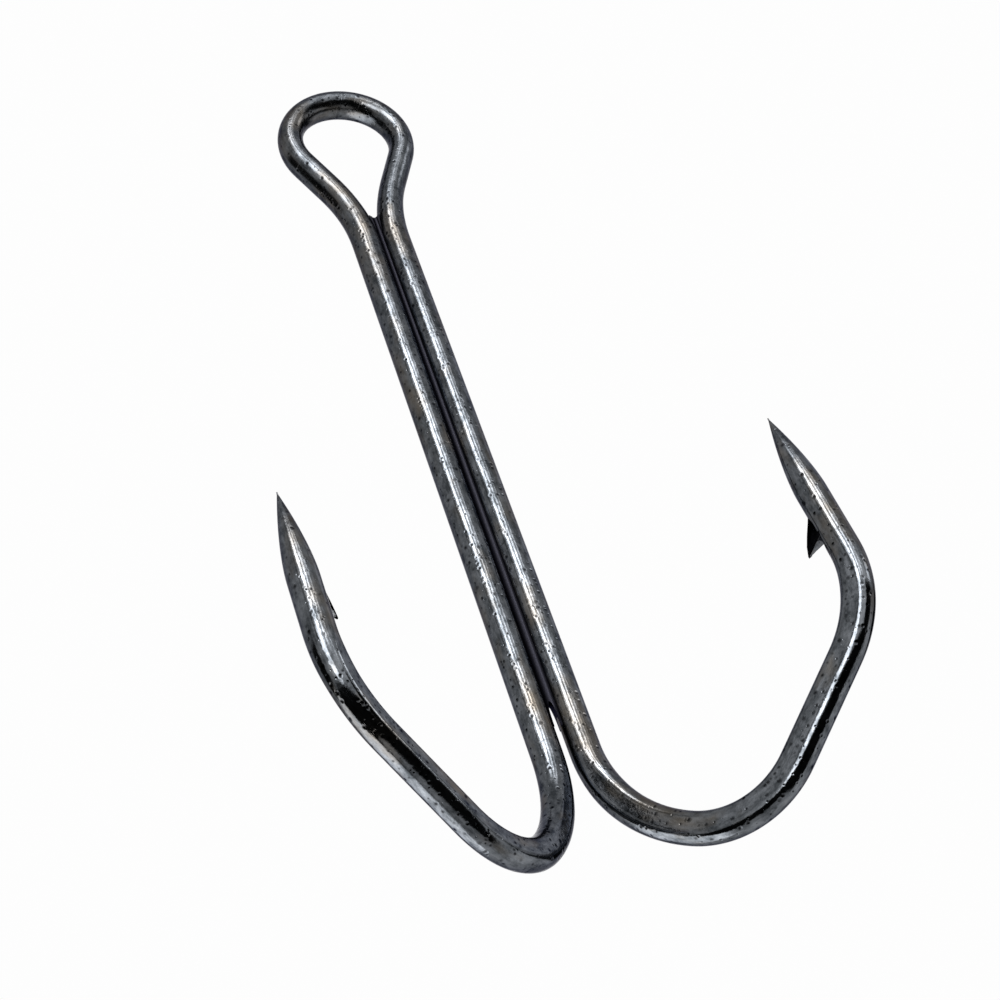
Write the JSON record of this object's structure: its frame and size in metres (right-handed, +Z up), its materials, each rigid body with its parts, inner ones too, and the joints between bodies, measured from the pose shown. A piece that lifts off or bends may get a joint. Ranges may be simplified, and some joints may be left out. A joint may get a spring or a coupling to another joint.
{
  "type": "double fishing hook",
  "caption": "Long-shank double fishing hook bent from one wire: a line eye, two legs brazed side by side, and two barbed, inward-leaning points.",
  "frame": {"origin": "centre of the line eye's round loop", "axes": "+Z up the shank towards the line, +X from the left leg to the right leg, -Y forwards, the way both hooks lean"},
  "size_m": [0.0346, 0.015, 0.0683],
  "materials": {
    "black_nickel": "polished black nickel plate over bent and forged steel wire and the braze between its legs"
  },
  "bodies": {
    "root": {"eye": "black_nickel", "left_shank": "black_nickel", "right_shank": "black_nickel", "left_bend": "black_nickel", "right_bend": "black_nickel", "left_arm": "black_nickel", "right_arm": "black_nickel", "left_point": "black_nickel", "right_point": "black_nickel", "shank_braze": "black_nickel"}
  },
  "joints": []
}
